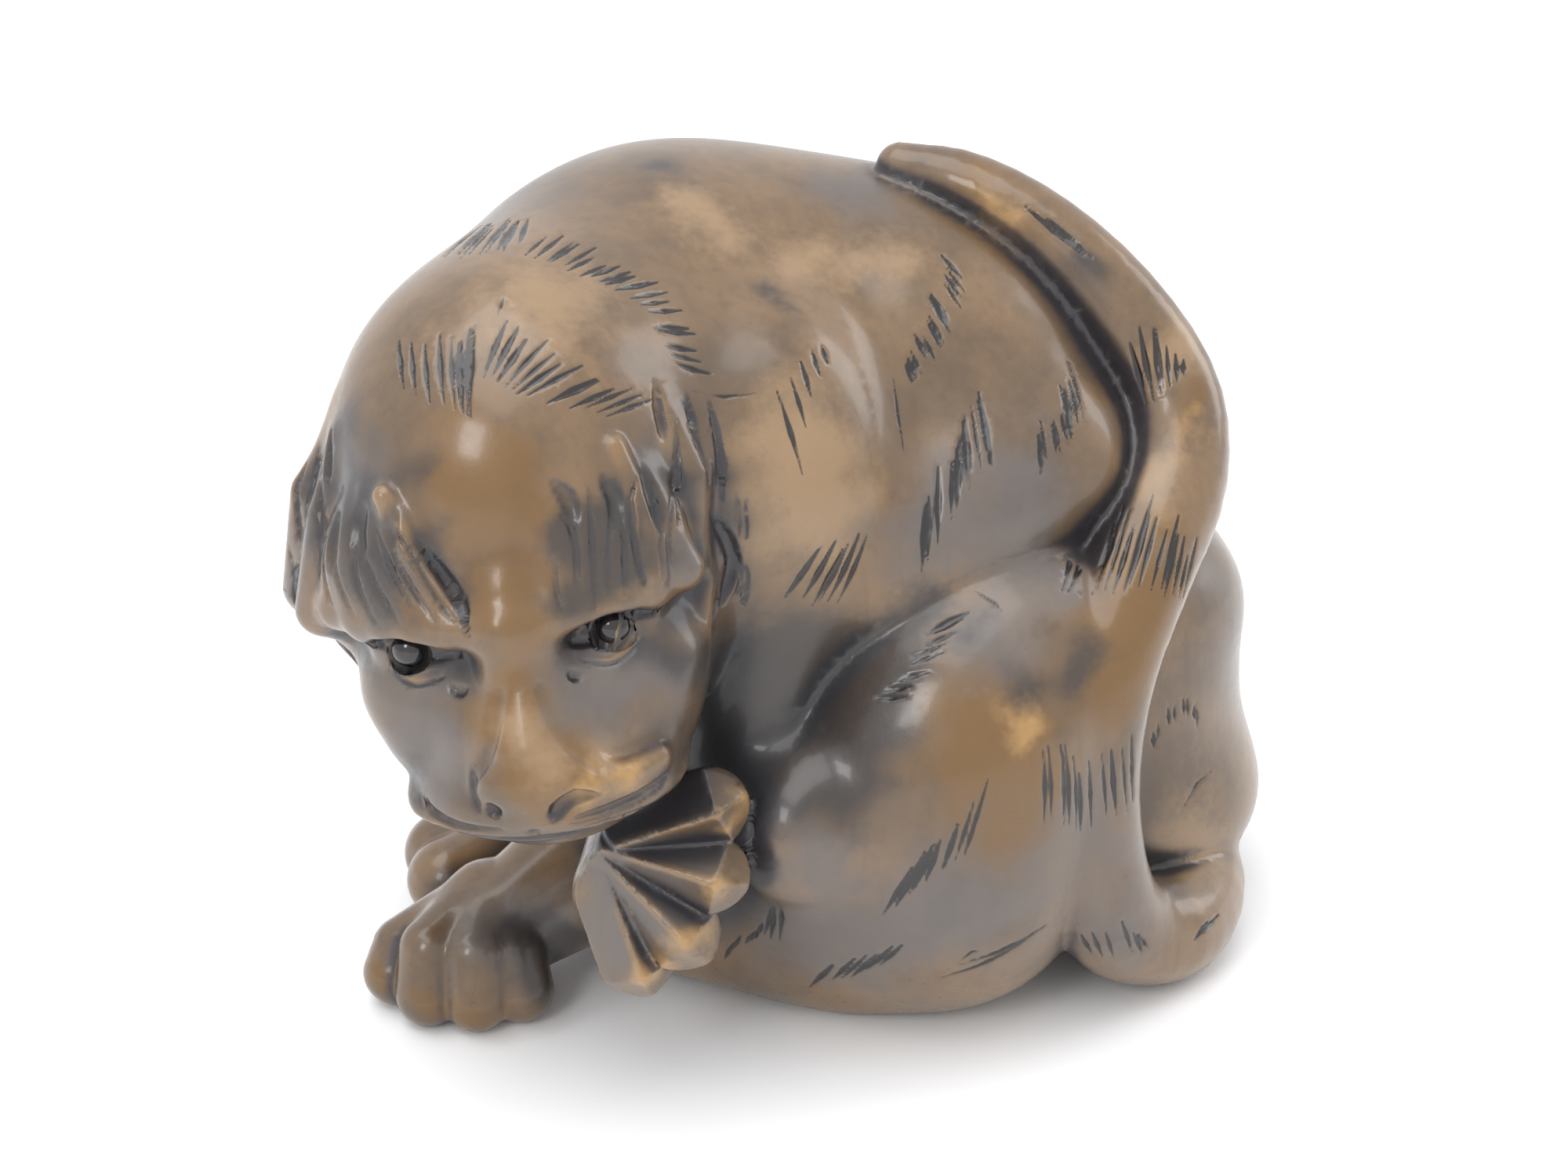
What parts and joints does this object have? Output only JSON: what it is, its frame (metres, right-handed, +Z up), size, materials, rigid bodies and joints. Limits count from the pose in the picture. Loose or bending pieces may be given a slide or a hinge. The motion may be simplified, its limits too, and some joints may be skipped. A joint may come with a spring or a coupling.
{
  "type": "netsuke",
  "caption": "Carved wooden netsuke: a curled-up tiger that bows its head to gnaw a raised forepaw, with its tail laid up over its back, inlaid dark eyes and two cord holes.",
  "frame": {"origin": "on the ground, in the middle of the figure's outline seen from above", "axes": "+Z up; the tiger's chest and toes point to -X, its left side and its face to -Y"},
  "size_m": [0.0412, 0.035, 0.0354],
  "materials": {
    "boxwood": "stained and polished",
    "horn": "polished"
  },
  "bodies": {
    "root": {"tiger_body": "boxwood", "left_eye": "horn", "right_eye": "horn"}
  },
  "joints": []
}
